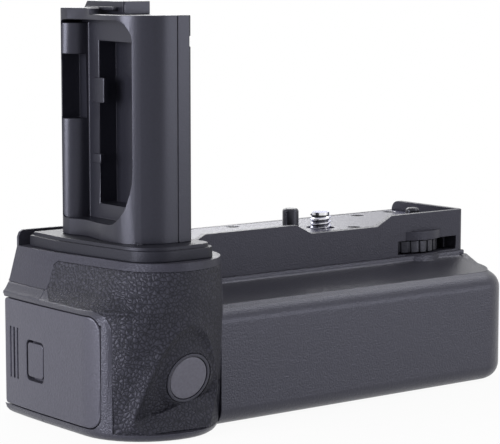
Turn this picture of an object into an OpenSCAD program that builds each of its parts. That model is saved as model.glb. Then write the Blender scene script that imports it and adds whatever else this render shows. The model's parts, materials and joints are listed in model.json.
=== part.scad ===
// Camera battery grip: a hand-grip end with a battery tower, a low seat for the camera,
// a slide-in battery tray and a thumb wheel that drives the mounting screw.
// Millimetres. +X runs along the body away from the hand grip, -Y is the lens side, +Z is up.
// The origin is the middle of the footprint, on the resting face.

/* [Body] */
// Overall length
body_l = 148.4; // [147:0.2:150]
// Overall depth, from the back to the nose of the hand grip
body_d = 60; // [59:0.5:62]
// Depth of the long body, from the back to its front face
main_d = 53.2; // [52:0.2:54]
// Height of the parting plane between the lower case and the top case
case_h = 37.2; // [36.8:0.1:37.6]
// Height of the crease at the front edge of the shoulder
crease_h = 33; // [32.6:0.1:33.4]
// Height of the seat that the camera stands on
seat_h = 47; // [46.8:0.1:47.2]
// Depth of the seat, from the back to the front wall
seat_d = 32.1; // [31.6:0.1:32.6]
// Height of the lip round the seat
lip_h = 2.9; // [2.4:0.1:3.2]
// Wall thickness of the cases
wall_t = 2; // [1.8:0.1:2]
// Radius of the long front edges
edge_r = 5; // [4.5:0.1:5.5]
// Radius of the upright corner at the front right
corner_r = 10; // [9:0.5:10]

/* [Hand grip] */
// Radius of the nose, front to centre
nose_r = 20.5; // [20:0.1:21]
// Distance of the nose's centre from the left end
nose_x = 22.2; // [21.8:0.1:22.4]
// How far the left flank draws in towards the top
flank_draw = 4.6; // [4.2:0.1:5]
// Height where the left flank starts to draw in
flare_foot = 36; // [35.6:0.1:36.4]
// How far the ridge above the door stands out
ridge = 0.8; // [0.4:0.1:1]
// Thickness of the rubber grip skin
rubber_t = 1.2; // [1:0.1:1.4]
// How far the right side of the nose draws in towards the foot
nose_lean = 2.4; // [1:0.2:3]
// Depth of the finger scoop at the shutter button
scoop_depth = 3.4; // [3.2:0.05:3.5]
// How far the scoop faces down, in degrees
scoop_tilt = 13; // [12:0.5:14]
// How far the scoop faces left, in degrees
scoop_turn = -1; // [-2:0.5:2]

/* [Tower] */
// Height of the collar above the seat
collar_h = 4; // [3.6:0.1:4.4]
// Height of the tower above the collar
tower_h = 60.5; // [58:0.5:62]
// Width of the tower along X
tower_w = 18; // [17.6:0.1:18.4]
// Depth of the tower along Y
tower_d = 37.6; // [37:0.1:38]
// Thickness of the tower's side cover
cover_t = 4.8; // [4.4:0.1:5.2]
// Depth of the storage recess in the tower
recess_depth = 6.6; // [6:0.1:7]
// Height of the contact block on the tower
block_h = 3.5; // [3:0.1:4]

/* [Battery tray] */
// Length of one battery bay
bay_l = 57; // [56.5:0.1:57]
// Width of one battery bay
bay_w = 40.2; // [40:0.1:40.2]
// Height of one battery bay
bay_h = 21.2; // [21:0.1:21.4]

/* [Controls] */
// Radius of the shutter button
button_r = 6; // [5.6:0.1:6.1]
// Height of the shutter button's axis
button_z = 15.9; // [15.8:0.05:16.2]
// Radius of the lock wheel
wheel_r = 11.4; // [11.2:0.1:11.6]
// Distance of the mounting screw from the middle of the body
screw_x = 24.4; // [24:0.1:25]
// Radius of the mounting screw's thread
screw_r = 3.175; // [3.175]
// Module of the gears
gear_m = 1; // [1]
// Teeth of the wheel's gear and of the screw's gear
gear_teeth = 14; // [14]
// Teeth of the idler gear
idler_teeth = 21; // [21]

/* [Hidden] */
$fn = 48;
eps = 0.02;
far = 200;

x_left = -body_l / 2;
x_right = body_l / 2;
y_back = body_d / 2;
y_nose = -body_d / 2;
y_main = y_back - main_d;
y_wall = y_back - seat_d;
split_y = 10;

// nose of the hand grip, at the foot and at the rim
nose_cx = x_left + nose_x;
nose_cy = y_nose + nose_r;
rim_cx = nose_cx + 1.5;
rim_cy = nose_cy - 2.5;
rim_left = 14;
rim_right = 18;
rim_front = 16.4;
flank_x = x_left + ridge;
flare_power = 1.4;
foot_r = 2.5;
arc_steps = 22;
knee_y = 20;
side_bow = 0.7;
// lip of the left side above the door, and the line where the side turns up to the rim
lip_foot = 33.4;
lip_z = 34.5;
lip_out = 0.5;
line_z = 38.7;
line_in = 2.2;
flare_steps = 4;
// right edge of the rubber skin
rubber_x1 = nose_cx + 14.8;

// front right corner, and the ledge at the foot of the front wall
corner_x = x_right - corner_r;
corner_y = y_main + corner_r;
back_corner = 4;
ledge_y = y_wall - 1.2;

collar_z = seat_h + collar_h;
tower_x0 = -61.2;
tower_x1 = tower_x0 + tower_w;
tower_y0 = -19;
tower_y1 = tower_y0 + tower_d;
tower_split = tower_x1 - cover_t;
tower_top = collar_z + tower_h;
// floor and height range of the storage recess
recess_x = tower_x0 + recess_depth;
recess_z = [collar_z + 4.6, tower_top - 1.5];

// battery chamber and tray
tray_wall = 1;
tray_gap = 0.3;
tray_cy = 5.5;
tray_y0 = tray_cy - bay_w / 2 - tray_wall;
tray_y1 = tray_cy + bay_w / 2 + tray_wall;
tray_z0 = 7.2;
bay_z0 = tray_z0 + tray_wall;
tray_z1 = bay_z0 + bay_h;
door_t = 2.8;
door_x = flank_x + door_t;
bay_x0 = -59.5;
bay_pitch = bay_l + tray_wall;
tray_x1 = bay_x0 + 2 * bay_pitch;
frame_t = 1;
frame_y0 = tray_y0 - tray_gap - frame_t;
frame_y1 = tray_y1 + tray_gap + frame_t;
frame_z0 = tray_z0 - tray_gap - frame_t;
frame_z1 = 31;
frame_x0 = door_x + 0.4;
frame_x1 = 67.2;
door_y0 = -16.7;
door_y1 = y_back - 0.4;
door_z0 = 3;
door_z1 = 32.8;
door_gap = 0.25;
door_r = 4;

// release button on the door
release_y = 13.2;
release_z = 17.2;
release_w = 7.8;
release_h = 9.6;
pocket_depth = 2.2;

// gear train
gear_y = 8.3;
mesh_d = gear_m * (gear_teeth + idler_teeth) / 2;
mesh_span = 16.05;
mesh_a = acos(mesh_span / mesh_d);
screw_at = [screw_x, gear_y];
idler_at = [screw_x + mesh_span, gear_y + mesh_d * sin(mesh_a)];
wheel_at = [screw_x + 2 * mesh_span, gear_y];
wheel_x = wheel_at[0];
wheel_slot = [wheel_x - 10.1, wheel_x + 13.9];
guard_r = wheel_r + 1.2;
// turns that bring the teeth into mesh
idler_turn = mesh_a + 180 - 180 / idler_teeth + mesh_a * gear_teeth / idler_teeth;
wheel_turn = 180 - mesh_a - 180 / gear_teeth - (mesh_a + idler_turn) * idler_teeth / gear_teeth;
gear_z0 = 41.6;
gear_z1 = 44.4;
bracket_z0 = 35.6;
bracket_z1 = 37;
plate_t = 2;
plate_z0 = seat_h - plate_t;
screw_top = seat_h + 4.6;

// seat plate and its screws
plate_x0 = -33.8;
plate_x1 = x_right - 2.8;
plate_y0 = y_wall + 2.3;
plate_y1 = y_back - 2;
plate_screw_at = [[-29, 4], [-29, 24.5], [32.2, 2.2], [4.1, 25], [52.1, 23.3], [66.5, 24.5]];
pin_front = [12.8, gear_y];
pin_front_r = 2.4;
pin_end = [61.6, gear_y];
pin_end_r = 2.1;

// shutter button and its travel
button_x = nose_cx + 1.55;
button_y = y_nose + scoop_depth;
button_travel = 1;
ring_r = 7;
ring_floor = 3.4;
stem_end = 4.7;

case_screw_at = [[-62, -10], [-62, 22], [-14, -14], [-14, 22], [60, -14], [60, 22]];
tower_screw_at = [[-57, -5], [-57, 13], [-52, -5], [-52, 13]];
socket_at = [screw_x, 2.5];

// Small building blocks

module box(x, y, z) {
    translate([x[0], y[0], z[0]]) cube([x[1] - x[0], y[1] - y[0], z[1] - z[0]]);
}

module rod_z(at, r, z) {
    translate([at[0], at[1], z[0]]) cylinder(r = r, h = z[1] - z[0]);
}

module rod_y(x, z, r, y) {
    translate([x, y[0], z]) rotate([-90, 0, 0]) cylinder(r = r, h = y[1] - y[0]);
}

module rod_x(y, z, r, x) {
    translate([x[0], y, z]) rotate([0, 90, 0]) cylinder(r = r, h = x[1] - x[0]);
}

// A rectangle with round corners, drawn from its two opposite corners
module round_rect(low, high, r) {
    translate([low[0] + r, low[1]]) square([high[0] - low[0] - 2 * r, high[1] - low[1]]);
    translate([low[0], low[1] + r]) square([high[0] - low[0], high[1] - low[1] - 2 * r]);
    for (x = [low[0] + r, high[0] - r], y = [low[1] + r, high[1] - r])
        translate([x, y]) circle(r = r);
}

// Extrudes a shape drawn as (y, z) along X, or one drawn as (x, z) along Y
module along_x(x) {
    translate([x[0], 0, 0]) rotate([90, 0, 90]) linear_extrude(x[1] - x[0]) children();
}

module along_y(y) {
    translate([0, y[1], 0]) rotate([90, 0, 0]) linear_extrude(y[1] - y[0]) children();
}

module along_z(z) {
    translate([0, 0, z[0]]) linear_extrude(z[1] - z[0]) children();
}

function arc(c, r, from, to, n = 8) =
    [for (i = [0:n]) let(a = from + (to - from) * i / n) [c[0] + r * cos(a), c[1] + r * sin(a)]];

function mix(a, b, t) = a + (b - a) * t;

// A closed skin through rings of points that have the same count
module loft(rings) {
    n = len(rings[0]);
    last = len(rings) - 1;
    points = [for (ring = rings) each ring];
    sides = [for (k = [0:last - 1], i = [0:n - 1]) let(j = (i + 1) % n, a = k * n, b = a + n)
        each [[a + i, b + i, b + j], [a + i, b + j, a + j]]];
    foot = [[for (i = [0:n - 1]) i]];
    head = [[for (i = [n - 1:-1:0]) last * n + i]];
    polyhedron(points, concat(foot, sides, head));
}

// A coil spring along +Z, one unbroken tube
module coil(r, wire, length, turns) {
    steps = 8 * turns;
    rings = [for (k = [0:steps]) let(a = 360 * k / 8, z = wire + (length - 2 * wire) * k / steps)
        [for (i = [0:5]) let(b = 60 * i) [(r + wire * cos(b)) * cos(a), (r + wire * cos(b)) * sin(a),
            z + wire * sin(b)]]];
    loft(rings);
}

// Hand grip form

function flare(z) = z <= flare_foot ? 0 :
    1 - pow((seat_h - min(z, seat_h)) / (seat_h - flare_foot), flare_power);

// How far the left side is drawn in at height z: out to the lip above the door, then in to the rim
function flank_in(z) = z <= lip_foot ? 0 :
    z <= lip_z ? -lip_out * (z - lip_foot) / (lip_z - lip_foot) :
    z <= line_z ? mix(-lip_out, line_in, pow((z - lip_z) / (line_z - lip_z), 0.7)) :
    mix(line_in, flank_draw, (z - line_z) / (seat_h - line_z));

// Outline of the hand grip at height z, drawn in by inset: the whole, or one side of the split
function grip_outline(z, inset, part) =
    let(t = flare(z),
        drawn = flank_in(z),
        cx = mix(nose_cx, rim_cx, t),
        cy = mix(nose_cy, rim_cy, t),
        left = mix(nose_cx - flank_x, rim_left, drawn / flank_draw) - inset,
        right = mix(nose_r + 0.5, rim_right, t) - inset - nose_lean * max(0, 1 - z / door_z1),
        front = mix(nose_r, rim_front, t) - inset,
        side = flank_x + drawn + inset,
        split_x = side + mix(0, 0.9, t),
        bow = [for (i = [0:arc_steps]) let(a = 180 + 180 * i / arc_steps)
            [cx + (cos(a) < 0 ? left : right) * cos(a), cy + front * sin(a)]],
        back = [[cx + right, y_back - inset], [side + side_bow, y_back - inset],
            [side + side_bow / 3, knee_y]])
    part == "front" ? concat([[split_x, split_y]], bow, [[cx + right, split_y]]) :
    part == "rear" ? concat([[cx + right, split_y]], back, [[split_x, split_y]]) :
    concat([[split_x, split_y]], bow, back);

// Heights of the rings, each with the extra inset of the rounded foot
foot_levels = [for (k = [0:4]) [foot_r * (1 - cos(22.5 * k)), foot_r * (1 - sin(22.5 * k))]];
lip_levels = [for (z = [lip_foot, lip_z, lip_z + 0.5, lip_z + 1.2, lip_z + 2, case_h]) [z, 0]];
flank_levels = [for (k = [0:flare_steps]) [mix(line_z, seat_h, k / flare_steps), 0]];
lower_levels = concat(foot_levels, lip_levels);
upper_levels = concat([[case_h, 0], [case_h + 0.8, 0]], flank_levels);
all_levels = concat(lower_levels, [[case_h + 0.8, 0]], flank_levels);

module grip_form(levels, part, inset = 0) {
    loft([for (level = levels) [for (p = grip_outline(level[0], inset + level[1], part))
        [p[0], p[1], level[0]]]]);
}

// Puts a shape on the axis of the shutter button, which runs into the nose along the shape's +Y
module at_button() {
    translate([button_x, button_y, button_z]) rotate([scoop_tilt, 0, -scoop_turn]) children();
}

// Finger scoop: a flat face round the button, and a toe below it that comes out to the foot
module scoop(inset = 0) {
    toe = [nose_cx, button_y + 1.75, button_z - 7.4];
    intersection() {
        at_button() box([-40, 40], [-30, inset], [-40, 40]);
        translate(toe) rotate([-26, 0, -8]) box([-50, 50], [-30, inset], [-50, 50]);
    }
}

module nose(inset = 0) {
    difference() {
        grip_form(all_levels, "front", inset);
        scoop(inset);
    }
}

// The region that the rubber skin covers, seen from the side: it goes round the door's frame
module rubber_window() {
    top = seat_h - 2.1;
    low = 2.2;
    foot = lip_z + 0.3;
    edge_y = door_y0 - 3.2;
    bend = 5.6;
    tail_y = split_y - 0.3;
    along_x([x_left - 1, rubber_x1]) polygon(concat(
        [[y_nose - 1, low], [edge_y, low]],
        arc([edge_y + bend, foot - bend], bend, 180, 90),
        [[5.7, foot], [9, case_h], [tail_y, line_z], [tail_y, top - 1], [tail_y - 0.8, top],
            [y_nose - 1, top]]));
}

module rubber_volume() {
    difference() {
        intersection() {
            nose(0);
            rubber_window();
        }
        nose(rubber_t);
    }
}

// The pocket for the skin, open to the outside
module rubber_pocket() {
    difference() {
        rubber_window();
        nose(rubber_t);
    }
}

// Long lower body

// Its outer edge from the foot to the crease: distance in from the face, and height
edge_section = concat(
    arc([edge_r, edge_r], edge_r, 270, 180),
    arc([edge_r, crease_h - edge_r], edge_r, 180, 118),
    [[edge_r - 1.6, crease_h]]);

// How far in the crease lies, and the plan of the front half drawn in by inset
crease_in = edge_r - 1.6;

function front_plan(inset) = concat(
    [[rubber_x1 + 0.3, y_main + inset]], arc([corner_x, corner_y], corner_r - inset, -90, 0, 12),
    [[x_right - inset, split_y], [rubber_x1 + 0.3, split_y]]);

// Shoulder from the crease up to the foot of the front wall
module shoulder() {
    intersection() {
        along_x([rubber_x1 + 0.3, x_right]) polygon(concat(
            [[split_y, crease_h - 1], [y_main, crease_h - 1], [y_main, crease_h - 0.48],
                [ledge_y - 2.4, case_h - 2]],
            arc([ledge_y - 1.3, case_h - 0.4], 1.3, 270, 352, 4),
            [[ledge_y, case_h], [split_y, case_h]]));
        along_z([crease_h - 2, far]) polygon(front_plan(crease_in + 0.15));
    }
}

// Fan that falls from the foot of the end wall to the rounded corner
module fan() {
    in = crease_in + 0.3;
    hull() {
        along_z([crease_h - 1, crease_h - 0.3]) polygon(concat(
            arc([corner_x, corner_y], corner_r - in, -90, 0),
            [[x_right - in, ledge_y + 1], [corner_x - 4, ledge_y + 1]]));
        box([x_right - 1.6, x_right - 0.5], [ledge_y, ledge_y + 1.6], [crease_h - 1, case_h - 1.1]);
    }
}

// Foot of the seat's end wall, over a stretch of Y
module end_foot(y) {
    box([corner_x, x_right - 0.4], y, [crease_h - 1, case_h]);
}

module main_front() {
    loft([for (p = edge_section) [for (q = front_plan(p[0])) [q[0], q[1], p[1]]]]);
    shoulder();
    fan();
    end_foot([y_wall, split_y]);
    wheel_guard([case_h - 1.9, case_h], guard_r + 0.4);
}

module main_rear() {
    intersection() {
        union() {
            intersection() {
                along_x([rubber_x1 + 0.3, x_right]) polygon(concat(
                    arc([y_back - foot_r, foot_r], foot_r, 0, -90, 5),
                    [[split_y, 0], [split_y, case_h], [y_back, case_h]]));
                along_y([split_y - 1, y_back + 1]) polygon(concat(
                    [[-far, case_h + 1], [-far, 0]], [for (p = edge_section) [x_right - p[0], p[1]]],
                    [[x_right - crease_in, case_h + 1]]));
            }
            end_foot([split_y, y_back]);
        }
        along_z([-1, far]) round_rect([-far, -far], [x_right, y_back], back_corner);
    }
}

// The space on one side of the split of the lower case
module half_space(part) {
    y = part == "front" ? [-far, split_y] : [split_y, far];
    box([-far, far], y, [-far, far]);
}

module lower_form(part) {
    grip_form(lower_levels, part);
    if (part == "front") main_front();
    else main_rear();
}

// A round guard over the rim of the lock wheel, between two heights
module wheel_guard(z, r = guard_r) {
    intersection() {
        rod_z(wheel_at, r, z);
        box([wheel_x - 7, wheel_x + 7], [y_wall - 3, y_wall + 1], z);
    }
}

// Everything that is cut out of the two lower halves
module case_hollow() {
    top = frame_z1;
    inner_x = x_right - 3.8;
    inner_r = corner_r - wall_t;
    along_z([wall_t, top]) polygon(concat(
        [[x_left + 5.7, y_main + wall_t]], arc([inner_x - inner_r, corner_y], inner_r, -90, 0),
        [[inner_x, y_back - wall_t], [x_left + 5.7, y_back - wall_t]]));
    // room in the nose for the shutter button and its switch
    intersection() {
        nose(rubber_t + wall_t);
        box([x_left + 5.7, nose_cx + 16], [y_nose, y_main + 4], [4, 30]);
    }
    // mouth of the chamber and the seat of the door
    seat_x = door_x + 0.3;
    box([x_left - 1, frame_x0 + 4], [frame_y0, frame_y1], [frame_z0, top]);
    box([x_left - 1, seat_x], [door_y0 + 4, y_back + 1], [door_z0 - door_gap, door_z1 + door_gap]);
    along_x([x_left - 1, seat_x])
        round_rect([door_y0 - door_gap, door_z0 - door_gap], [door_y1, door_z1 + door_gap], door_r);
    // tub above the deck for the board and the gear bracket
    box([-60, x_right - 4.8], [y_wall + 2.7, y_back - 3], [top + wall_t + 0.2, case_h + 1]);
    for (p = case_screw_at) {
        rod_z(p, 2.6, [-1, 1.6]);
        rod_z(p, 1.1, [-1, wall_t + 1]);
    }
    rod_z(socket_at, 6.5, [-1, 1]);
    rod_z(socket_at, 4.6, [-1, wall_t + 1]);
    rubber_pocket();
    at_button() rod_y(0, 0, ring_r, [-6, ring_floor + 2]);
}

// Ribs and bosses inside the lower halves
module case_ribs() {
    for (x = [-40, 5, 42]) box([x, x + 1.6], [y_main + 1, y_back - 1], [wall_t - eps, frame_z0]);
    for (p = case_screw_at) difference() {
        rod_z(p, 3, [wall_t - eps, frame_z0]);
        rod_z(p, 1.1, [0, far]);
    }
    difference() {
        rod_z(socket_at, 7, [wall_t - eps, frame_z0 - 0.1]);
        rod_z(socket_at, 4.6, [0, far]);
    }
    for (x = [-34, 4]) box([x, x + 1.6], [4, 24], [frame_z1 + wall_t, 34.4]);
    for (x = [-9, 9]) at_button() rod_y(x, 0, 1.2, [3, stem_end + 2]);
}

module case_half(part) {
    difference() {
        lower_form(part);
        case_hollow();
    }
    intersection() {
        case_ribs();
        half_space(part);
    }
}

module front_case() {
    color("#3c3c44") case_half("front");
}

module rear_case() {
    color("#3a3a42") case_half("rear");
}

// Top case and seat

// Front lip, seen from the front: two raised runs with a dip at the mounting screw
module front_lip() {
    z0 = seat_h;
    z1 = seat_h + lip_h;
    polygon([[-30, z0 - 2], [-30, z0 + 1], [-26.2, z1], [6.7, z1], [12.4, z0], [38.1, z0],
        [43.8, z1], [x_right - 0.4, z1], [x_right - 0.4, z0 - 2]]);
}

// Lip at the end, seen from the right: it rounds down to the seat at the back
module end_lip() {
    end_y = y_back - 0.7;
    polygon(concat([[y_wall, seat_h - 2], [y_wall, seat_h + lip_h]],
        arc([end_y - lip_h, seat_h], lip_h, 90, 0), [[end_y, seat_h - 2]]));
}

module seat_plan() {
    right = x_right - 0.4;
    back = y_back - 0.4;
    r = back_corner - 0.8;
    front_r = 2.2;
    polygon(concat([[nose_cx + 12, y_wall]], arc([right - front_r, y_wall + front_r], front_r, -90, 0, 5),
        arc([right - r, back - r], r, 0, 90), [[nose_cx + 12, back]]));
}

module top_form() {
    lip_t = 2;
    grip_form(upper_levels, "whole");
    along_z([case_h, seat_h]) seat_plan();
    intersection() {
        union() {
            along_y([y_wall, y_wall + lip_t]) front_lip();
            along_x([x_right - 0.4 - lip_t, x_right - 0.4]) end_lip();
        }
        along_z([case_h, far]) seat_plan();
    }
    // raised corner behind the tower
    corner = flank_x + flank_draw + 0.6;
    along_y([y_back - 1, y_back - eps]) polygon([[corner, seat_h - 2], [corner, seat_h + 2.6],
        [corner + 0.5, collar_z - 0.3], [corner + 1.4, collar_z + 0.3], [-58, collar_z + 0.3],
        [-34, collar_z], [-30, seat_h], [-30, seat_h - 2]]);
    // guards above and below the lock wheel
    for (z = [[case_h, 37.7], [41.9, 44.5]]) wheel_guard(z);
}

module top_hollow() {
    // under the seat plate
    box([plate_x0 + 1.8, plate_x1 - 1.4], [plate_y0 + 1.8, plate_y1 - 1.4], [case_h - 1, seat_h]);
    box([plate_x0 - 0.2, plate_x1 + 0.2], [plate_y0 - 0.2, plate_y1 + 0.2], [plate_z0, far]);
    // room for the gears, close to the front wall
    box([screw_x - 9, plate_x1 - 1.4], [y_wall + 1.8, plate_y0 + 3], [41, plate_z0]);
    rod_z(idler_at, gear_m * (idler_teeth / 2 + 1.4), [41, plate_z0]);
    // under the platform of the tower
    box([-62, plate_x0 - 2], [-8, 26], [case_h - 1, plate_z0 + 0.2]);
    box([plate_x0 - 3, plate_x0 + 3], [4, 24], [case_h - 1, plate_z0 - 1]);
    // way out for the lock wheel
    box(wheel_slot, [y_wall - 3, plate_y0 + 3], [37.7, 41.9]);
    rod_z(wheel_at, wheel_r + 0.4, [37.7, 41.9]);
    // ribbon cable and tower screws
    box([tower_split - 0.4, tower_split + 1.2], [-1.6, 7.6], [case_h, far]);
    for (p = tower_screw_at) rod_z(p, 1.1, [case_h, far]);
    rubber_pocket();
}

// Bosses for the plate's screws, each with a web to the nearer long wall
module plate_bosses() {
    for (p = plate_screw_at) difference() {
        union() {
            rod_z(p, 1.8, [39, plate_z0]);
            box([p[0] - 0.8, p[0] + 0.8], p[1] < 12 ? [y_wall + 1, p[1]] : [p[1], plate_y1], [39, plate_z0]);
        }
        rod_z(p, 1, [0, far]);
    }
}

module top_case() {
    color("#3e3e47") {
        difference() {
            top_form();
            top_hollow();
        }
        plate_bosses();
    }
}

module seat_plate() {
    color("#4a4a55") difference() {
        box([plate_x0, plate_x1], [plate_y0, plate_y1], [plate_z0, seat_h]);
        rod_z(screw_at, 4.15, [0, far]);
        for (pin = [[pin_front, pin_front_r], [pin_end, pin_end_r]]) {
            rod_z(pin[0], pin[1] + 0.05, [seat_h - 0.1, far]);
            rod_z(pin[0], pin[1] - 0.48, [0, far]);
        }
        for (p = plate_screw_at) {
            rod_z(p, 2, [seat_h - 0.9, far]);
            rod_z(p, 1.05, [0, far]);
        }
    }
}

module plate_screws() {
    color("#1c1c20") for (p = plate_screw_at) {
        difference() {
            rod_z(p, 1.9, [seat_h - 0.9, seat_h - 0.1]);
            for (turn = [0, 90]) translate([p[0], p[1], seat_h - 0.1]) rotate(turn)
                cube([2, 0.4, 0.8], center = true);
        }
        rod_z(p, 0.95, [seat_h - 5, seat_h - 0.9 + eps]);
    }
}

// A pin with a bevelled head, and a slightly thinner shank in the plate
module locating_pin(at, r, h) {
    rod_z(at, r, [seat_h - 0.05, seat_h + h - 0.6]);
    rod_z(at, r - 0.5, [plate_z0, seat_h]);
    translate([at[0], at[1], seat_h + h - 0.6]) cylinder(r1 = r, r2 = r - 0.5, h = 0.6);
}

module locating_pins() {
    color("#18181b") {
        locating_pin(pin_front, pin_front_r, 6.5);
        locating_pin(pin_end, pin_end_r, 3.2);
    }
}

// Tower

module collar_plan(inset = 0) {
    right = tower_x1 + 4.3 - inset;
    front = tower_y0 - 5.6 + inset;
    back = tower_y1 + 8 - inset;
    polygon(concat(
        arc([right - 4, front + 4], 4, -90, 0, 4),
        [[right, back], [tower_x0 - 5 + inset, back], [tower_x0 - 5.6 + inset, 12]],
        arc([tower_x0 + 7.5, front + 9.5], 9.5, 180, 270, 6)));
}

// The part of the tower's foot that goes through the collar
module spigot(gap = 0) {
    box([tower_x0 + 2 - gap, tower_split - 0.8 + gap], [tower_y0 + 3 - gap, tower_y1 - 3 + gap],
        [seat_h, collar_z + 0.5]);
}

module tower_collar() {
    color("#3a3a43") difference() {
        union() {
            along_z([seat_h, collar_z - 1]) collar_plan();
            along_z([collar_z - 1 - eps, collar_z]) collar_plan(0.8);
        }
        spigot(0.1);
        box([tower_split - 0.4, tower_split + 1.2], [-1.6, 7.6], [0, far]);
    }
}

// Tower section: a broad round corner at the front of the storage side, and a waist behind it
module tower_plan() {
    big = 11;
    small = 1.2;
    heel = 2;
    polygon(concat(
        arc([tower_x1 - small, tower_y0 + small], small, -90, 0, 4),
        arc([tower_x1 - small, tower_y1 - small], small, 0, 90, 4),
        arc([tower_x0 + heel, tower_y1 - heel], heel, 90, 180, 4),
        [[tower_x0, tower_y1 - 5], [tower_x0 + 1.6, tower_y1 - 10.6], [tower_x0, tower_y1 - 19.6]],
        arc([tower_x0 + big, tower_y0 + big], big, 180, 270, 12)));
}

module tower_body() {
    along_z([collar_z, tower_top]) tower_plan();
}

// Storage recess for the camera's own battery cover, drawn as (y, z)
module recess_plan() {
    front = tower_y0 + 5;
    sweep = [8.8, 14.4];
    back = tower_y1 - 1;
    bend = 2;
    polygon(concat(
        arc([back - bend, recess_z[0] + bend], bend, -90, 0, 4),
        arc([back - bend, recess_z[1] - bend], bend, 0, 90, 4),
        arc([front + 5.2, recess_z[1] - 5.2], 5.2, 90, 180, 6),
        [for (p = arc([1, 1], 1, 180, 270)) [front + sweep[0] * p[0], recess_z[0] + sweep[1] * p[1]]]));
}

// Round post along the back of the recess
module recess_post() {
    reach = [recess_depth - 0.4, 4.2];
    base = [recess_x, tower_y1 - 1];
    along_z([0, recess_z[1] - 1]) polygon(concat(
        [for (p = arc([0, 0], 1, 180, 270, 10)) [base[0] + reach[0] * p[0], base[1] + reach[1] * p[1]]],
        [[base[0] + 1, base[1] - reach[1]], [base[0] + 1, far], [base[0] - reach[0], far]]));
}

module tower_recess() {
    finger_z = [82.9, 100.5];
    difference() {
        along_x([tower_x0 - 1, recess_x]) recess_plan();
        recess_post();
    }
    // slot in the floor of the recess
    box([recess_x - 1, recess_x + 5.6], [tower_y0 + 5.4, 8.4], [59.8, 104.2]);
    // finger notch in the post, behind a thin back wall
    box([tower_x0 - 1, recess_x - 0.4], [tower_y1 - 7, tower_y1 - 1.2], finger_z);
    box([tower_x0 - 1, tower_x0 + 0.5], [tower_y1 - 7, far], [finger_z[0] + 0.5, finger_z[1] - 1.5]);
}

module tower_shell() {
    clip_x = [recess_x - 0.3, recess_x + 1];
    color("#3b3b44") {
        difference() {
            union() {
                intersection() {
                    tower_body();
                    box([-far, tower_split], [-far, far], [0, far]);
                }
                // raised corner beside the contact block
                intersection() {
                    along_z([tower_top - eps, tower_top + 1.7]) tower_plan();
                    box([-far, tower_x0 + 4.4], [tower_y1 - 14.1, far], [0, far]);
                }
            }
            tower_recess();
        }
        difference() {
            spigot();
            for (p = tower_screw_at) rod_z(p, 0.9, [0, collar_z + 0.2]);
        }
        // clips that hold the stored cover
        box(clip_x, [5.8, 11.8], [87.4, 94.2]);
        box(clip_x, [7.6, 11.4], [70.8, 73.3]);
    }
}

module tower_cover() {
    color("#3d3d46") difference() {
        intersection() {
            tower_body();
            box([tower_split, far], [-far, far], [0, far]);
        }
        // channel for the ribbon cable
        box([tower_split - 1, tower_split + 1.8], [-1.6, 7.6], [0, tower_top - 1]);
        box([tower_split - 1, tower_split + 0.6], [0.4, 5.6], [0, far]);
        // notch for the camera's battery catch
        box([tower_x1 - 0.9, far], [tower_y0 - 1, tower_y0 + 14], [103.2, 105.9]);
    }
}

module contact_slots(gap) {
    for (y = [-1.6, 2.4, 6.4, 10.4])
        box([tower_split - 0.6 - gap, tower_split + 3], [y - gap, y + 1 + gap],
            [tower_top + 0.8 - gap, far]);
}

module contact_block() {
    left = recess_x + 0.4;
    front = tower_y0 + 15.3;
    back = tower_y1 - 2.4;
    top = tower_top + block_h;
    color("#2f2f36") difference() {
        union() {
            along_x([left, tower_split + 2]) polygon([[front, tower_top], [front, top], [back - 1.6, top],
                [back, top - 2], [back, tower_top]]);
            // rail towards the storage side
            box([left - 1.9, left + 1], [front + 2.9, back - 3.6], [tower_top + 1, tower_top + 2]);
        }
        contact_slots(0.15);
        // groove beside the front corner
        box([left - 1, left + 0.5], [front + 0.5, front + 0.9], [tower_top + 0.5, far]);
    }
}

module tower_contacts() {
    color("#c9a548") intersection() {
        contact_slots(0);
        box([tower_split - 0.4, tower_split + 1.6], [-far, far], [0, tower_top + block_h - 0.4]);
    }
}

module tower_screws() {
    color("#b8b8bc") for (p = tower_screw_at) {
        rod_z(p, 1.8, [plate_z0 - 1, plate_z0 + 0.2]);
        rod_z(p, 0.85, [plate_z0 + 0.2 - eps, collar_z]);
    }
}

// Hand grip skin and shutter button

module grip_rubber() {
    color("#2b2b31") difference() {
        rubber_volume();
        at_button() rod_y(0, 0, ring_r, [-6, ring_floor]);
    }
}

module button_ring() {
    color("#33333a") at_button() difference() {
        rod_y(0, 0, ring_r - 0.02, [-0.12, ring_floor + 0.8]);
        rod_y(0, 0, button_r + 0.1, [-1, ring_floor]);
        rod_y(0, 0, 1.85, [-1, far]);
    }
}

module shutter_button() {
    color("#55555f") at_button() {
        rod_y(0, 0, button_r, [-0.05, 1.3]);
        rod_y(0, 0, 1.8, [1.3 - eps, stem_end]);
    }
}

module shutter_spring() {
    color("#b8b8bc") at_button() translate([0, 1.32, 0]) rotate([-90, 0, 0])
        coil(3.6, 0.15, ring_floor - 1.34, 2);
}

module shutter_switch() {
    plate = stem_end + 2;
    color("#2d5a3c") at_button() {
        box([-10.2, 10.2], [plate, plate + 0.8], [-4, 4]);
        box([-3, 3], [stem_end + button_travel + 0.35, plate + eps], [-3, 3]);
    }
}

// Fastenings and the socket of the base

module case_screws() {
    color("#8f8f95") for (p = case_screw_at) {
        difference() {
            rod_z(p, 2.4, [0.4, 1.6]);
            for (turn = [0, 90]) translate([p[0], p[1], 0.4]) rotate(turn)
                cube([2.6, 0.5, 1], center = true);
        }
        rod_z(p, 0.95, [1.6 - eps, frame_z0 + 0.7]);
    }
}

module tripod_socket() {
    color("#a0a0a6") difference() {
        union() {
            rod_z(socket_at, 6.4, [0.1, 1]);
            rod_z(socket_at, 4.55, [1 - eps, frame_z0 - 0.1]);
        }
        rod_z(socket_at, 2.6, [-1, far]);
    }
}

// Battery chamber

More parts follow.
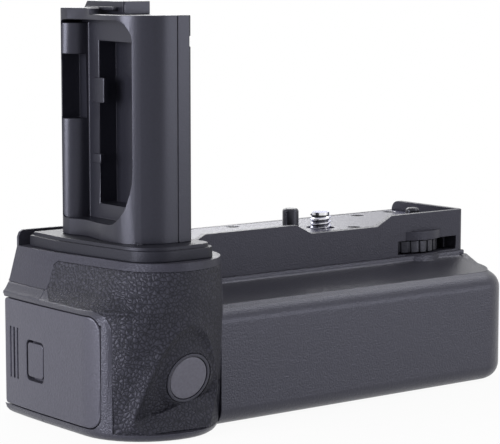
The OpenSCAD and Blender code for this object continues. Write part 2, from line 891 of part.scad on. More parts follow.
module chamber_frame() {
    color("#34343b") difference() {
        box([frame_x0, frame_x1], [frame_y0, frame_y1], [frame_z0, frame_z1]);
        box([frame_x0 - 1, frame_x1 - frame_t], [frame_y0 + frame_t, frame_y1 - frame_t],
            [frame_z0 + frame_t, frame_z1 - 0.8]);
        for (p = case_screw_at) rod_z(p, 1, [0, frame_z0 + frame_t - eps]);
        // way through for the contact leads
        box([frame_x1 - 2, far], [0, 9], [26, 29]);
    }
}

module contact_holder() {
    x1 = frame_x1 - frame_t;
    color("#26262b") box([tray_x1 + tray_wall + 1, x1], [-6, 15], [12, 24]);
}

module chamber_contacts() {
    x0 = tray_x1 + tray_wall + 0.5;
    color("#c9a548") for (y = [-4, -0.5, 3, 6.5, 10, 13])
        box([x0, x0 + 0.5], [y - 0.8, y + 0.8], [14, 22]);
}

module latch_keeper() {
    top = frame_z1 - 0.8;
    color("#b8b8bc") box([door_x + 1.6, door_x + 5.6], [release_y - 6, release_y + 6], [top - 0.4, top]);
}

// Electronics in the tub

module circuit_board() {
    color("#2d5a3c") {
        box([-36, 8], [3, 25], [34.4, 35.6]);
        for (x = [-18, -6]) box([x, x + 7], [9, 16], [35.6 - eps, 36.6]);
    }
}

module ribbon_cable() {
    x0 = tower_split + 0.25;
    t = 0.3;
    color("#b87333") {
        box([x0, x0 + t], [0.8, 5.2], [35.6, tower_top - 0.2]);
        box([x0, -30], [0.8, 5.2], [35.6, 35.6 + t]);
    }
}

// Gear train of the mounting screw

function involute(base, t) = let(roll = t * PI / 180)
    [base * (cos(t) + roll * sin(t)), base * (sin(t) - roll * cos(t))];

// A spur gear outline with a tooth on the +X axis
module gear_2d(teeth) {
    pressure = 20;
    slack = 0.22;
    pitch_r = gear_m * teeth / 2;
    base_r = pitch_r * cos(pressure);
    tip_r = pitch_r + 0.9 * gear_m;
    root_r = pitch_r - 1.2 * gear_m;
    pitch_t = acos(base_r / pitch_r);
    pitch_roll = tan(pitch_t) * 180 / PI;
    lean = pitch_roll - pitch_t;
    half = 90 / teeth - slack / 2 / pitch_r * 180 / PI + lean;
    tip_roll = tan(acos(base_r / tip_r)) * 180 / PI;
    flank = [for (k = [0:5]) involute(base_r, tip_roll * k / 5)];
    turn = function(p, a) [p[0] * cos(a) - p[1] * sin(a), p[0] * sin(a) + p[1] * cos(a)];
    tooth = concat([[root_r * cos(half), -root_r * sin(half)]], [for (p = flank) turn(p, -half)],
        [for (k = [5:-1:0]) turn([flank[k][0], -flank[k][1]], half)],
        [[root_r * cos(half), root_r * sin(half)]]);
    polygon([for (i = [0:teeth - 1]) each [for (p = tooth) turn(p, 360 * i / teeth)]]);
}

module gear_bracket() {
    color("#9a9aa0") difference() {
        union() {
            box([screw_x - 9, wheel_x + 6], [y_wall + 3.3, 18], [bracket_z0, bracket_z1]);
            for (x = [screw_x - 7, wheel_x + 4], y = [y_wall + 5, 16])
                rod_z([x, y], 1.5, [frame_z1 + wall_t + 0.2, bracket_z0 + eps]);
        }
        rod_z(screw_at, 2.05, [0, far]);
        for (at = [idler_at, wheel_at]) rod_z(at, 1.52, [0, far]);
    }
}

module axle(at) {
    color("#c0c0c4") rod_z(at, 1.5, [bracket_z0, plate_z0 - 0.05]);
}

module wheel_axle() {
    axle(wheel_at);
}

module idler_axle() {
    axle(idler_at);
}

// A gear standing at a point, between two heights
module gear(at, teeth, turn, z) {
    along_z(z) translate(at) rotate(turn) gear_2d(teeth);
}

module lock_wheel() {
    ribs = 23;
    wheel_z = [38.05, 41.5];
    color("#2a2a2f") difference() {
        union() {
            along_z(wheel_z) translate(wheel_at) difference() {
                circle(r = wheel_r);
                for (i = [0:ribs - 1]) rotate(360 * (i + 0.5) / ribs) translate([wheel_r, 0])
                    square([1, 0.8], center = true);
            }
            gear(wheel_at, gear_teeth, wheel_turn, [wheel_z[1] - eps, gear_z1]);
        }
        rod_z(wheel_at, 1.55, [0, far]);
    }
}

module idler_gear() {
    color("#d8d4c8") difference() {
        union() {
            gear(idler_at, idler_teeth, idler_turn, [gear_z0, gear_z1]);
            rod_z(idler_at, 3, [bracket_z1 + 0.2, gear_z0 + eps]);
        }
        rod_z(idler_at, 1.55, [0, far]);
    }
}

module screw_gear() {
    color("#d8d4c8") difference() {
        gear(screw_at, gear_teeth, 0, [gear_z0, gear_z1]);
        rod_z(screw_at, 2.6, [0, far]);
    }
}

module mounting_screw() {
    color("#d5d5d8") {
        rod_z(screw_at, screw_r, [gear_z1, screw_top - 0.7]);
        translate([screw_at[0], screw_at[1], screw_top - 0.7])
            cylinder(r1 = screw_r, r2 = screw_r - 0.7, h = 0.7);
        rod_z(screw_at, 2.6, [gear_z0, gear_z1 + eps]);
        rod_z(screw_at, 2, [bracket_z0 - 1.2, gear_z0 + eps]);
    }
}

module screw_washer() {
    color("#9a9aa0") difference() {
        rod_z(screw_at, 3.6, [bracket_z0 - 0.9, bracket_z0 - 0.3]);
        rod_z(screw_at, 2, [0, far]);
    }
}

// Battery tray, its door and the release

module battery_tray() {
    end_x = tray_x1 + tray_wall;
    color("#303037") difference() {
        box([door_x, end_x], [tray_y0, tray_y1], [tray_z0, tray_z1]);
        for (i = [0, 1]) {
            x0 = bay_x0 + i * bay_pitch + tray_wall;
            box([x0, x0 + bay_l], [tray_cy - bay_w / 2, tray_cy + bay_w / 2], [bay_z0, far]);
        }
        // room behind the door for the release
        box([door_x + 1.6, bay_x0], [tray_y0 + 2, tray_y1 - 2], [bay_z0, far]);
        rod_x(release_y, release_z, 3.4, [door_x - 1, door_x + 3]);
        for (y = [tray_y0 + 4, tray_y1 - 4]) rod_x(y, release_z, 1, [door_x - 1, door_x + 6]);
    }
}

module tray_door() {
    color("#46464f") difference() {
        intersection() {
            along_z([0, case_h]) polygon(grip_outline(button_z, 0, "whole"));
            along_x([x_left - 1, door_x]) union() {
                round_rect([door_y0, door_z0], [door_y1 - 6, door_z1], door_r);
                round_rect([door_y1 - 12, door_z0], [door_y1, door_z1], 1);
            }
        }
        // pocket and bore of the release button
        along_x([x_left - 1, flank_x + pocket_depth])
            round_rect([release_y - release_w / 2 - 0.6, release_z - release_h / 2 - 1],
                [release_y + release_w / 2 + 0.6, release_z + release_h / 2 + 0.6], 1.6);
        rod_x(release_y, release_z, 1.66, [x_left - 1, far]);
        // finger grooves
        for (y = [22.5, 24.45, 26.4]) box([x_left - 1, flank_x + 0.9], [y - 0.4, y + 0.4], [10.7, 25.1]);
        for (y = [tray_y0 + 4, tray_y1 - 4]) rod_x(y, release_z, 0.9, [door_x - 1.6, door_x + 1]);
    }
}

module door_screws() {
    color("#8f8f95") for (y = [tray_y0 + 4, tray_y1 - 4]) {
        rod_x(y, release_z, 1.7, [door_x + 1.6, door_x + 2.8]);
        rod_x(y, release_z, 0.85, [door_x - 1.5, door_x + 1.6 + eps]);
    }
}

module tray_contacts() {
    color("#c9a548") for (i = [0, 1], y = [-4, -0.5, 3, 6.5, 10, 13]) {
        x = bay_x0 + (i + 1) * bay_pitch - 0.3;
        box([x, x + 0.3], [y - 0.7, y + 0.7], [15, 21]);
    }
}

module release_button() {
    cap_x = flank_x + 0.2;
    color("#3a3a42") {
        along_x([cap_x, cap_x + 0.9])
            round_rect([release_y - release_w / 2, release_z - release_h / 2],
                [release_y + release_w / 2, release_z + release_h / 2], 1.2);
        rod_x(release_y, release_z, 1.6, [cap_x + 0.9 - eps, door_x + 5.6]);
    }
}

module release_spring() {
    color("#b8b8bc") translate([flank_x + 1.12, release_y, release_z]) rotate([0, 90, 0])
        coil(2.6, 0.16, pocket_depth - 1.14, 2);
}

module door_latch() {
    x0 = door_x + 3.6;
    color("#8f8f95") difference() {
        box([x0, x0 + 1.6], [release_y - 4, release_y + 4], [bay_z0 + 1.3, tray_z1 - 0.05]);
        // slot round the stem of the button
        box([-far, far], [release_y - 1.9, release_y + 1.9], [release_z - 1.9, release_z + 3.2]);
    }
}

front_case();
rear_case();
top_case();
seat_plate();
tower_collar();
tower_shell();
tower_cover();
contact_block();
tower_contacts();
grip_rubber();
button_ring();
shutter_button();
shutter_spring();
shutter_switch();
locating_pins();
plate_screws();
case_screws();
tower_screws();
tripod_socket();
chamber_frame();
contact_holder();
chamber_contacts();
latch_keeper();
circuit_board();
ribbon_cable();
gear_bracket();
wheel_axle();
idler_axle();
lock_wheel();
idler_gear();
screw_gear();
mounting_screw();
screw_washer();
battery_tray();
tray_door();
door_screws();
tray_contacts();
release_button();
release_spring();
door_latch();
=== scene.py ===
import json
import math

import bmesh
import bpy
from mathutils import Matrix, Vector
from mathutils.geometry import intersect_point_line

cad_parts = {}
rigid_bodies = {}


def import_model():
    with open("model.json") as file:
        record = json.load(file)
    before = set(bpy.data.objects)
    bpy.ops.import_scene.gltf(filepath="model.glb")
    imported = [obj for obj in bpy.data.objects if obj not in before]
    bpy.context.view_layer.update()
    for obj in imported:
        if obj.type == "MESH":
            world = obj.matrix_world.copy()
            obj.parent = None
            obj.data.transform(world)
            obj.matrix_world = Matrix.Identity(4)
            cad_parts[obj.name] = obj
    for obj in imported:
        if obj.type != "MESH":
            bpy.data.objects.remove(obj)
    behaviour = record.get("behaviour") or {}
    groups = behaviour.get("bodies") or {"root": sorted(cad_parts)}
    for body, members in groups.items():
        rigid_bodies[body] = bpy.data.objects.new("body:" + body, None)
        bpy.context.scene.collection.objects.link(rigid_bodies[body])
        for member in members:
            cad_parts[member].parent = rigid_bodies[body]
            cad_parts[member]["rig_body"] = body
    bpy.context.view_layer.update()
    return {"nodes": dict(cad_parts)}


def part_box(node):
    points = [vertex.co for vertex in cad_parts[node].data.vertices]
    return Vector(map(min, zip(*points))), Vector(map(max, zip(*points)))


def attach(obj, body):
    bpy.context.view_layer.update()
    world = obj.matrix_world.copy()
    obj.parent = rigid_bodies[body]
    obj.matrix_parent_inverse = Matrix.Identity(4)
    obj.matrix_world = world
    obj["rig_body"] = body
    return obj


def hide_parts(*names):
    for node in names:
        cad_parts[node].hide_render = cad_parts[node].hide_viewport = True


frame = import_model()
nodes = frame["nodes"]

MM = 0.001
UP = (0, 0, 1)


# Materials

COOL_SHEEN = (0.80, 0.81, 1.0, 1.0)
TONE_SPREAD = 0.12
TONE_SCALE = 1300.0
TONE_DETAIL = 4.0
TONE_STOPS = (0.3, 0.7)
GRAIN_DETAIL = 3.0
GRAIN_DEPTH = 0.17 * MM


def new_material(name, colour, roughness, metallic=0.0, specular=0.5):
    """A plain surface whose constant values sit on the shader's own sockets."""
    material = bpy.data.materials.new(name)
    material.use_nodes = True
    shader = material.node_tree.nodes["Principled BSDF"]
    shader.inputs["Base Color"].default_value = (*colour, 1.0)
    shader.inputs["Roughness"].default_value = roughness
    shader.inputs["Metallic"].default_value = metallic
    shader.inputs["Specular IOR Level"].default_value = specular
    shader.inputs["Specular Tint"].default_value = COOL_SHEEN
    return material


def add_grain(material, scale, strength, depth):
    """Fine relief on the surface, read in object coordinates."""
    tree = material.node_tree
    place = tree.nodes.new("ShaderNodeTexCoord")
    noise = tree.nodes.new("ShaderNodeTexNoise")
    noise.inputs["Scale"].default_value = scale
    noise.inputs["Detail"].default_value = GRAIN_DETAIL
    bump = tree.nodes.new("ShaderNodeBump")
    bump.inputs["Strength"].default_value = strength
    bump.inputs["Distance"].default_value = depth
    tree.links.new(place.outputs["Object"], noise.inputs["Vector"])
    tree.links.new(noise.outputs["Fac"], bump.inputs["Height"])
    tree.links.new(bump.outputs["Normal"], tree.nodes["Principled BSDF"].inputs["Normal"])


def toned(colour, factor):
    return [channel * factor for channel in colour]


def colour_ramp(tree, low, high, stops):
    """A ramp from a low colour to a high one, between two stops."""
    ramp = tree.nodes.new("ShaderNodeValToRGB")
    for element, stop, colour in zip(ramp.color_ramp.elements, stops, (low, high)):
        element.position = stop
        element.color = (*colour, 1.0)
    return ramp


def add_tone(material, colour, spread, scale):
    """Slight unevenness of the colour, as moulded plastic has."""
    tree = material.node_tree
    place = tree.nodes.new("ShaderNodeTexCoord")
    noise = tree.nodes.new("ShaderNodeTexNoise")
    noise.inputs["Scale"].default_value = scale
    noise.inputs["Detail"].default_value = TONE_DETAIL
    ramp = colour_ramp(tree, toned(colour, 1 - spread), toned(colour, 1 + spread), TONE_STOPS)
    tree.links.new(place.outputs["Object"], noise.inputs["Vector"])
    tree.links.new(noise.outputs["Fac"], ramp.inputs["Fac"])
    tree.links.new(ramp.outputs["Color"], tree.nodes["Principled BSDF"].inputs["Base Color"])


def textured_plastic(name, colour, roughness, scale=1500.0, strength=0.5, specular=0.5):
    """Plastic or paint with a fine grain."""
    material = new_material(name, colour, roughness, specular=specular)
    add_tone(material, colour, TONE_SPREAD, TONE_SCALE)
    add_grain(material, scale, strength, GRAIN_DEPTH)
    return material


def bare_metal(name, colour, roughness, scale, strength, depth):
    """Metal with fine marks of the tool."""
    material = new_material(name, colour, roughness, metallic=1.0)
    add_grain(material, scale, strength, depth)
    return material


def leather(name, colour, roughness, cells, specular):
    """Rubber moulded with a leather grain: raised cells, with painted shade darkening the furrows between
    them.
    """
    furrow_shade_tone = 0.08
    cell_tone = 1.2
    furrow_stops = (0.0, 0.2)
    wander_scale = 0.6 * cells
    wander_detail = 2.0
    wander_reach = 1.1 * MM
    cell_strength = 0.75
    cell_height = 0.5 * MM
    material = new_material(name, colour, roughness, specular=specular)
    tree = material.node_tree
    shader = tree.nodes["Principled BSDF"]
    place = tree.nodes.new("ShaderNodeTexCoord")
    wander = tree.nodes.new("ShaderNodeTexNoise")
    wander.inputs["Scale"].default_value = wander_scale
    wander.inputs["Detail"].default_value = wander_detail
    push = tree.nodes.new("ShaderNodeVectorMath")
    push.operation = "MULTIPLY_ADD"
    push.inputs[1].default_value = (wander_reach, wander_reach, wander_reach)
    furrow = tree.nodes.new("ShaderNodeTexVoronoi")
    furrow.feature = "DISTANCE_TO_EDGE"
    furrow.inputs["Scale"].default_value = cells
    tree.links.new(place.outputs["Object"], wander.inputs["Vector"])
    tree.links.new(wander.outputs["Color"], push.inputs[0])
    tree.links.new(place.outputs["Object"], push.inputs[2])
    tree.links.new(push.outputs["Vector"], furrow.inputs["Vector"])
    # The ramp darkens the furrows with painted shade, standing for the shade that falls in them.
    ramp = colour_ramp(tree, toned(colour, furrow_shade_tone), toned(colour, cell_tone), furrow_stops)
    tree.links.new(furrow.outputs["Distance"], ramp.inputs["Fac"])
    tree.links.new(ramp.outputs["Color"], shader.inputs["Base Color"])
    cell = tree.nodes.new("ShaderNodeBump")
    cell.inputs["Strength"].default_value = cell_strength
    cell.inputs["Distance"].default_value = cell_height
    tree.links.new(furrow.outputs["Distance"], cell.inputs["Height"])
    tree.links.new(cell.outputs["Normal"], shader.inputs["Normal"])
    return material


case_plastic = textured_plastic("case_plastic", (0.028, 0.0275, 0.038), 0.32, scale=2100.0, strength=0.75)
top_plastic = textured_plastic("top_plastic", (0.036, 0.0354, 0.048), 0.38,
                               scale=1900.0, strength=0.6, specular=0.25)
tower_plastic = textured_plastic("tower_plastic", (0.010, 0.010, 0.015), 0.34,
                                 scale=1800.0, strength=0.12, specular=0.46)
collar_plastic = textured_plastic("collar_plastic", (0.008, 0.008, 0.012), 0.46, strength=0.3, specular=0.3)
door_plastic = textured_plastic("door_plastic", (0.046, 0.045, 0.060), 0.38)
button_plastic = textured_plastic("button_plastic", (0.130, 0.127, 0.156), 0.40, strength=0.15)
dark_plastic = textured_plastic("dark_plastic", (0.008, 0.008, 0.010), 0.5)
tray_plastic = textured_plastic("tray_plastic", (0.012, 0.012, 0.015), 0.5)
plate_paint = textured_plastic("plate_paint", (0.08, 0.08, 0.125), 0.26, strength=0.25)
wheel_plastic = textured_plastic("wheel_plastic", (0.008, 0.008, 0.010), 0.40)
grip_leather = leather("grip_leather", (0.021, 0.0208, 0.029), 0.50, cells=930.0, specular=0.3)
board_mask = textured_plastic("board_mask", (0.012, 0.085, 0.032), 0.35)
film_amber = textured_plastic("film_amber", (0.33, 0.12, 0.02), 0.35)
gear_acetal = textured_plastic("gear_acetal", (0.60, 0.58, 0.52), 0.42)

# The plate's screws and the pins are blackened, so they don't shine as bare metal does
PIN_BLACK = (0.010, 0.010, 0.011)
screw_black = textured_plastic("screw_black", (0.006, 0.006, 0.008), 0.6, specular=0.1)
pin_metal = new_material("pin_metal", PIN_BLACK, 0.34)
add_tone(pin_metal, PIN_BLACK, spread=0.1, scale=1500.0)

screw_chrome = bare_metal("screw_chrome", (0.72, 0.72, 0.74), 0.16, 3000.0, 0.03, 0.02 * MM)
# Painted shade for the roots of the chrome screw's thread: a dark metal on the core between the turns.
root_painted_shade = bare_metal("root_painted_shade", (0.05, 0.05, 0.055), 0.4, 3000.0, 0.03, 0.02 * MM)
steel = bare_metal("steel", (0.52, 0.52, 0.54), 0.34, 2500.0, 0.08, 0.03 * MM)
contact_gold = bare_metal("contact_gold", (0.70, 0.50, 0.20), 0.28, 2500.0, 0.05, 0.03 * MM)


# Making pieces, with angles in degrees

MERGE_GAP = 0.004 * MM
FLAT_ANGLE = 0.5
CRISP_ANGLE = 40.0
SHARP_ANGLE = 34.0
ROUND_STEPS = 2
NARROW_ANGLE = 54.0
NARROW_SHARE = 0.4
NARROW_STEPS = 1
SPARE_ROOM = 1.05
WIDEST_ROOM = 1.0
LEAST_SINE = 1e-4
LEAST_NEED = 1e-6


def keep(bm, name, material, node):
    """Turns a bmesh into a piece that rides a CAD node's body and stands for the node."""
    mesh = bpy.data.meshes.new(name)
    bm.to_mesh(mesh)
    bm.free()
    mesh.materials.append(material)
    piece = bpy.data.objects.new(name, mesh)
    bpy.context.scene.collection.objects.link(piece)
    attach(piece, nodes[node]["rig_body"])
    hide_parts(node)
    return piece


def fold(edge):
    """Angle between an edge's two faces."""
    if len(edge.link_faces) != 2:
        return 0.0
    return math.degrees(edge.calc_face_angle(0.0))


def shade(bm, limit):
    """Smooth faces, with edges sharper than the limit kept crisp."""
    for face in bm.faces:
        face.smooth = True
    for edge in bm.edges:
        edge.smooth = len(edge.link_faces) == 2 and fold(edge) < limit


def weigh(piece):
    """Large faces keep their own normal, so that a narrow rounding reads as one."""
    modifier = piece.modifiers.new("weighted", "WEIGHTED_NORMAL")
    modifier.keep_sharp = True
    modifier.weight = 80


def copy_of(node):
    """A merged copy of a CAD node, with its flat faces made whole again."""
    bm = bmesh.new()
    bm.from_mesh(nodes[node].data)
    bmesh.ops.remove_doubles(bm, verts=bm.verts, dist=MERGE_GAP)
    bmesh.ops.dissolve_limit(bm, angle_limit=math.radians(FLAT_ANGLE), verts=bm.verts, edges=bm.edges)
    return bm


def room_in(face, edge, chosen):
    """Widest rounding of an edge that its neighbours in one face leave room for."""
    loop = next(step for step in face.loops if step.edge == edge)
    before = loop.link_loop_prev
    after = loop.link_loop_next
    start = loop.vert.co
    end = after.vert.co
    along = end - start
    room = WIDEST_ROOM
    needed = 0.0
    for side, heading, neighbour in ((before.vert.co - start, along, before.edge),
                                     (after.link_loop_next.vert.co - end, -along, after.edge)):
        turn = side.angle(heading, 0.0)
        sine = max(math.sin(turn), LEAST_SINE)
        if neighbour in chosen:
            needed += (1.0 + math.cos(turn)) / sine
        else:
            needed += math.cos(turn) / sine
            room = min(room, side.length * sine)
    if needed > LEAST_NEED:
        room = min(room, along.length / needed)
    return room


def round_edges(bm, width, limit, segments, hollows):
    """Rounds every sharp edge that has room for it, the hollow ones only where asked."""
    bm.normal_update()
    chosen = {edge for edge in bm.edges if fold(edge) > limit and (hollows or edge.is_convex)}
    crowded = chosen
    while crowded:
        crowded = {edge for edge in chosen
                   if min(room_in(face, edge, chosen) for face in edge.link_faces) < SPARE_ROOM * width}
        chosen -= crowded
    bmesh.ops.bevel(bm, geom=list(chosen), offset=width, offset_type="OFFSET", segments=segments,
                    profile=0.5, affect="EDGES", clamp_overlap=True, material=-1)


def rounded(node, width, material, name, hollows=True, reshape=None):
    """The CAD node with its sharp edges rounded by a width in mm, the narrow ones less."""
    bm = copy_of(node)
    round_edges(bm, width * MM, SHARP_ANGLE, ROUND_STEPS, hollows)
    round_edges(bm, NARROW_SHARE * width * MM, NARROW_ANGLE, NARROW_STEPS, hollows)
    if reshape:
        reshape(bm)
    bmesh.ops.triangulate(bm, faces=bm.faces)
    shade(bm, CRISP_ANGLE)
    weigh(keep(bm, name, material, node))


# The rubber dips on both sides of the rim round the shutter button's hollow, with lengths in mm

SKIN_FRONT = -0.3
FLOOR_FRONT = -0.9
FLOOR_DOWN = -0.15
SAME_PLANE = 0.9995
SWELL_CELL = 0.9
SWELL_REACH = 9.0
OUTER_DIP = 0.55
OUTER_FALL = 2.8
OUTER_RISE = 3.2
INNER_DIP = 0.8
INNER_FALL = 1.0
RING_CLEAR = 7.4
RING_FADE = 2.5
SOFT_BAND = 1.1
SOFT_PASSES = 3
CUT_GAP = 0.001


def faces_front(face):
    return face.normal.y < SKIN_FRONT


def faces_along(face, facing):
    return face.normal.dot(facing) > SAME_PLANE


def hollow_rim():
    """Rim of the hollow as pairs of points, and the direction that the hollow's floor faces."""
    bm = copy_of("grip_rubber")
    bm.normal_update()
    sloping = [face for face in bm.faces if face.normal.y < FLOOR_FRONT and face.normal.z < FLOOR_DOWN]
    facing = max(sloping, key=lambda face: face.calc_area()).normal.copy()
    rim = []
    for edge in bm.edges:
        inside = [face for face in edge.link_faces if faces_along(face, facing)]
        outside = [face for face in edge.link_faces if face not in inside and faces_front(face)]
        if inside and outside and edge.is_convex:
            rim.append((edge.verts[0].co.copy(), edge.verts[1].co.copy()))
    bm.free()
    return rim, facing


def gap_to(point, rim):
    """Distance from a point to the nearest part of the rim."""
    gaps = []
    for start, end in rim:
        nearest, share = intersect_point_line(point, start, end)
        if share < 0.0:
            nearest = start
        elif share > 1.0:
            nearest = end
        gaps.append((point - nearest).length)
    return min(gaps)


def ease(low, high, value):
    """Nought below the low value, one above the high one, and a smooth step between."""
    step = min(max((value - low) / (high - low), 0.0), 1.0)
    return step * step * (3.0 - 2.0 * step)


def cut_cells(bm, rim):
    """Cuts the front of the skin into small cells as far as the swell reaches."""
    points = [point for pair in rim for point in pair]
    cell = SWELL_CELL * MM
    reach = SWELL_REACH * MM
    for axis in (0, 2):
        start = min(point[axis] for point in points) - reach
        end = max(point[axis] for point in points) + reach
        across = Vector((float(axis == 0), 0.0, float(axis == 2)))
        for step in range(int((end - start) / cell)):
            front = [face for face in bm.faces if faces_front(face)]
            parts = set(front)
            parts.update(vert for face in front for vert in face.verts)
            parts.update(edge for face in front for edge in face.edges)
            bmesh.ops.bisect_plane(bm, geom=list(parts), dist=CUT_GAP * MM,
                                   plane_co=across * (start + step * cell), plane_no=across)


def swell_to_rim(bm):
    """Lowers the skin on both sides of the rim and softens the rim itself."""
    rim, facing = hollow_rim()
    low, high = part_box("button_ring")
    ring = (Vector(low) + Vector(high)) / 2
    cut_cells(bm, rim)
    bm.normal_update()
    skin = [vert for vert in bm.verts if all(faces_front(face) for face in vert.link_faces)]
    gaps = {vert: gap_to(vert.co, rim) / MM for vert in skin}
    for vert, gap in gaps.items():
        if any(faces_along(face, facing) for face in vert.link_faces):
            beside_ring = (vert.co - ring).length / MM - RING_CLEAR
            dip = INNER_DIP * ease(0.0, INNER_FALL, gap) * ease(0.0, RING_FADE, beside_ring)
        else:
            dip = OUTER_DIP * ease(0.0, OUTER_FALL, gap) * (1.0 - ease(OUTER_RISE, SWELL_REACH, gap))
        vert.co -= vert.normal * dip * MM
    soft = [vert for vert, gap in gaps.items() if gap < SOFT_BAND]
    for _ in range(SOFT_PASSES):
        bmesh.ops.smooth_vert(bm, verts=soft, factor=0.5,
                              use_axis_x=True, use_axis_y=True, use_axis_z=True)


# Pieces with rounded edges

rounded("front_case", 0.3, case_plastic, "front_shell")
rounded("rear_case", 0.4, case_plastic, "rear_shell")
rounded("top_case", 0.3, top_plastic, "top_shell")
rounded("seat_plate", 0.25, plate_paint, "plate")
rounded("tower_collar", 0.3, collar_plastic, "collar")
rounded("tower_shell", 0.3, tower_plastic, "tower")
rounded("tower_cover", 0.4, tower_plastic, "tower_side")
rounded("contact_block", 0.25, tower_plastic, "contact_cap")
rounded("tray_door", 0.4, door_plastic, "door", hollows=False)
rounded("release_button", 0.4, door_plastic, "release")
rounded("button_ring", 0.2, case_plastic, "ring", hollows=False)
rounded("shutter_button", 0.4, button_plastic, "shutter")
rounded("lock_wheel", 0.15, wheel_plastic, "wheel")
rounded("locating_pins", 0.3, pin_metal, "pins")
rounded("battery_tray", 0.3, tray_plastic, "tray")
rounded("chamber_frame", 0.2, tray_plastic, "chamber")
rounded("tripod_socket", 0.15, steel, "socket")
rounded("grip_rubber", 0.3, grip_leather, "grip_skin", reshape=swell_to_rim)


# Mounting screw, with a quarter inch thread of twenty turns to the inch

SEAT_HEIGHT = 47.0 * MM
SHAFT_CUT = 0.5 * MM
CORE_SUNK = 1.0 * MM
CORE_SIDES = 32
TIP_LENGTH = 0.8 * MM
THREAD_PITCH = 1.27 * MM
THREAD_CREST = 3.175 * MM
THREAD_ROOT = 2.6 * MM
THREAD_SUNK = 0.1 * MM
THREAD_RUN_OUT = 0.35 * MM
THREAD_START = 0.9
THREAD_STEPS = 20
THREAD_ANGLE = 50.0
RISE_END = 0.36
CREST_END = 0.5
FALL_END = 0.86


def parts_of_kind(parts, kind):
    return [part for part in parts if isinstance(part, kind)]


def cut_shaft(bm):
    """Takes the smooth shaft off just under the seat and closes the cut."""
    cut = bmesh.ops.bisect_plane(bm, geom=bm.verts[:] + bm.edges[:] + bm.faces[:],
                                 plane_co=(0, 0, SEAT_HEIGHT - SHAFT_CUT), plane_no=UP, clear_outer=True)
    bmesh.ops.holes_fill(bm, edges=parts_of_kind(cut["geom_cut"], bmesh.types.BMEdge))


def add_core(bm, axis, top):
    """Core of the thread, with painted shade in the thread's root and bright at its tip."""
    base = SEAT_HEIGHT - CORE_SUNK
    core = bmesh.ops.create_cone(bm, cap_ends=True, segments=CORE_SIDES, radius1=THREAD_ROOT,
                                 radius2=THREAD_ROOT, depth=top - base)
    bmesh.ops.translate(bm, verts=core["verts"], vec=axis + Vector((0, 0, (base + top) / 2)))
    faces = list({face for vert in core["verts"] for face in vert.link_faces})
    edges = list({edge for face in faces for edge in face.edges})
    tip = top - TIP_LENGTH
    cut = bmesh.ops.bisect_plane(bm, geom=core["verts"] + edges + faces, plane_co=(0, 0, tip), plane_no=UP)
    # Faces of the core below the tip take the second slot, the painted shade of the thread's roots.
    for face in parts_of_kind(cut["geom"], bmesh.types.BMFace):
        face.material_index = int(face.calc_center_median().z < tip)


def add_thread(bm, axis, top):
    """A section of the thread, spun up the core."""
    start = SEAT_HEIGHT - THREAD_START * THREAD_PITCH
    inner = THREAD_ROOT - THREAD_SUNK
    section = [(inner, 0.0), (THREAD_CREST, RISE_END), (THREAD_CREST, CREST_END), (inner, FALL_END)]
    corners = [bm.verts.new(axis + Vector((radius, 0, start + share * THREAD_PITCH)))
               for radius, share in section]
    profile = bm.faces.new(corners)
    turns = (top - SEAT_HEIGHT - THREAD_RUN_OUT) / THREAD_PITCH
    count = round(turns * THREAD_STEPS)
    rise = (0, 0, THREAD_PITCH / THREAD_STEPS)
    bmesh.ops.spin(bm, geom=corners + profile.edges[:] + [profile], cent=axis, axis=UP, dvec=rise,
                   angle=math.tau * count / THREAD_STEPS, steps=count)


def make_screw():
    low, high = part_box("mounting_screw")
    axis = Vector(((low[0] + high[0]) / 2, (low[1] + high[1]) / 2, 0.0))
    top = high[2]
    bm = copy_of("mounting_screw")
    cut_shaft(bm)
    add_core(bm, axis, top)
    add_thread(bm, axis, top)
    bmesh.ops.recalc_face_normals(bm, faces=bm.faces)
    shade(bm, THREAD_ANGLE)
    screw = keep(bm, "screw", screw_chrome, "mounting_screw")
    screw.data.materials.append(root_painted_shade)


make_screw()


# Finishes of the pieces that keep their CAD mesh

plain_finish = {
    "tower_contacts": contact_gold,
    "chamber_contacts": contact_gold,
    "tray_contacts": contact_gold,
    "plate_screws": screw_black,
    "case_screws": steel,
    "tower_screws": steel,
    "door_screws": steel,
    "shutter_spring": steel,
    "release_spring": steel,
    "door_latch": steel,
    "latch_keeper": steel,
    "gear_bracket": steel,
    "wheel_axle": steel,
    "idler_axle": steel,
    "screw_washer": steel,
    "idler_gear": gear_acetal,
    "screw_gear": gear_acetal,
    "shutter_switch": board_mask,
    "circuit_board": board_mask,
    "ribbon_cable": film_amber,
    "contact_holder": dark_plastic,
}
for node, material in plain_finish.items():
    nodes[node].data.materials.clear()
    nodes[node].data.materials.append(material)


# Stage, light and camera, in metres and watts

FLOOR_HALF = 30.0
PAPER_GREY = (0.9, 0.9, 0.9, 1.0)
PAPER_ROUGHNESS = 0.9
SHADOW_SCALE = (3.0, 3.0, 3.0)
SHADOW_GLOW = 0.93
WORLD_WHITE = (1.0, 1.0, 1.0, 1.0)
WORLD_LIGHT = 0.24
WHITE = 1.0
LIT_POINT = (0.0, 0.0, 0.04)
CAMERA_AT = (-0.36452, -0.45368, 0.12294)
CAMERA_DOWN = 7.03
CAMERA_ROUND = 38.09
CAMERA_LENS = 146.4
CAMERA_SENSOR = 36.0
CAMERA_NEAR = 0.01


def combined(tree, operation, first, second):
    """Two values through one maths node."""
    step = tree.nodes.new("ShaderNodeMath")
    step.operation = operation
    tree.links.new(first, step.inputs[0])
    tree.links.new(second, step.inputs[1])
    return step.outputs["Value"]


def seen_rays(tree):
    """One for camera, glossy and transmission rays, and nought for the rays that carry light."""
    path = tree.nodes.new("ShaderNodeLightPath")
    direct = combined(tree, "MAXIMUM", path.outputs["Is Camera Ray"], path.outputs["Is Glossy Ray"])
    return combined(tree, "MAXIMUM", direct, path.outputs["Is Transmission Ray"])


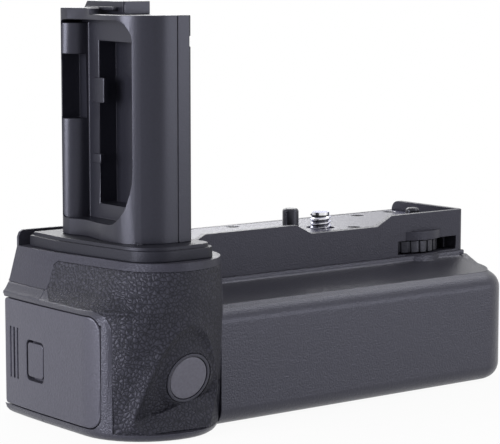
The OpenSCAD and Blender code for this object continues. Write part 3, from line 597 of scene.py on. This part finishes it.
def scaled(tree, value, low, high):
    """A value from nought to one, as a level from low to high."""
    level = tree.nodes.new("ShaderNodeMapRange")
    level.inputs["To Min"].default_value = low
    level.inputs["To Max"].default_value = high
    tree.links.new(value, level.inputs["Value"])
    return level.outputs["Result"]


def floor_white():
    """Paper for the rays that carry light, and white to look at, with a faint shadow near the object."""
    material = bpy.data.materials.new("floor_white")
    material.use_nodes = True
    tree = material.node_tree
    paper = tree.nodes["Principled BSDF"]
    paper.inputs["Base Color"].default_value = PAPER_GREY
    paper.inputs["Roughness"].default_value = PAPER_ROUGHNESS
    paper.inputs["Specular IOR Level"].default_value = 0.0
    glow = tree.nodes.new("ShaderNodeEmission")
    glow.inputs["Strength"].default_value = WHITE
    place = tree.nodes.new("ShaderNodeTexCoord")
    reach = tree.nodes.new("ShaderNodeMapping")
    reach.inputs["Scale"].default_value = SHADOW_SCALE
    near = tree.nodes.new("ShaderNodeTexGradient")
    near.gradient_type = "SPHERICAL"
    tree.links.new(place.outputs["Object"], reach.inputs["Vector"])
    tree.links.new(reach.outputs["Vector"], near.inputs["Vector"])
    level = scaled(tree, near.outputs["Fac"], WHITE, SHADOW_GLOW)
    blend = tree.nodes.new("ShaderNodeMixShader")
    tree.links.new(combined(tree, "MULTIPLY", seen_rays(tree), level), blend.inputs["Fac"])
    tree.links.new(paper.outputs["BSDF"], blend.inputs[1])
    tree.links.new(glow.outputs["Emission"], blend.inputs[2])
    tree.links.new(blend.outputs["Shader"], tree.nodes["Material Output"].inputs["Surface"])
    return material


def make_floor():
    bm = bmesh.new()
    bmesh.ops.create_grid(bm, x_segments=1, y_segments=1, size=FLOOR_HALF)
    mesh = bpy.data.meshes.new("floor")
    bm.to_mesh(mesh)
    bm.free()
    floor = bpy.data.objects.new("floor", mesh)
    bpy.context.scene.collection.objects.link(floor)
    mesh.materials.append(floor_white())


def make_world():
    """Soft light all round, and white where it is looked at."""
    world = bpy.data.worlds.new("studio")
    world.use_nodes = True
    tree = world.node_tree
    background = tree.nodes["Background"]
    background.inputs["Color"].default_value = WORLD_WHITE
    tree.links.new(scaled(tree, seen_rays(tree), WORLD_LIGHT, WHITE), background.inputs["Strength"])
    bpy.context.scene.world = world


def softbox(name, at, size, power):
    """A rectangular lamp that faces the object."""
    data = bpy.data.lights.new(name, "AREA")
    data.shape = "RECTANGLE"
    data.size = size[0]
    data.size_y = size[1]
    data.energy = power
    lamp = bpy.data.objects.new(name, data)
    lamp.location = at
    lamp.rotation_euler = (Vector(LIT_POINT) - Vector(at)).to_track_quat("-Z", "Y").to_euler()
    bpy.context.scene.collection.objects.link(lamp)


def make_camera():
    data = bpy.data.cameras.new("camera")
    data.lens = CAMERA_LENS
    data.sensor_width = CAMERA_SENSOR
    data.sensor_fit = "HORIZONTAL"
    data.clip_start = CAMERA_NEAR
    camera = bpy.data.objects.new("camera", data)
    camera.location = CAMERA_AT
    camera.rotation_euler = (math.radians(90 - CAMERA_DOWN), 0.0, math.radians(-CAMERA_ROUND))
    bpy.context.scene.collection.objects.link(camera)
    bpy.context.scene.camera = camera


make_floor()
make_world()
softbox("left_box", at=(-0.88, 0.05, 0.14), size=(0.5, 0.5), power=11.5)
softbox("front_box", at=(0.50, -0.86, 0.07), size=(0.6, 0.4), power=3.4)
softbox("back_box", at=(0.30, 0.80, 0.50), size=(0.7, 0.4), power=4.5)
softbox("high_box", at=(0.50, -0.12, 0.62), size=(0.6, 0.2), power=1.5)
make_camera()
bpy.context.scene.view_settings.view_transform = "Standard"
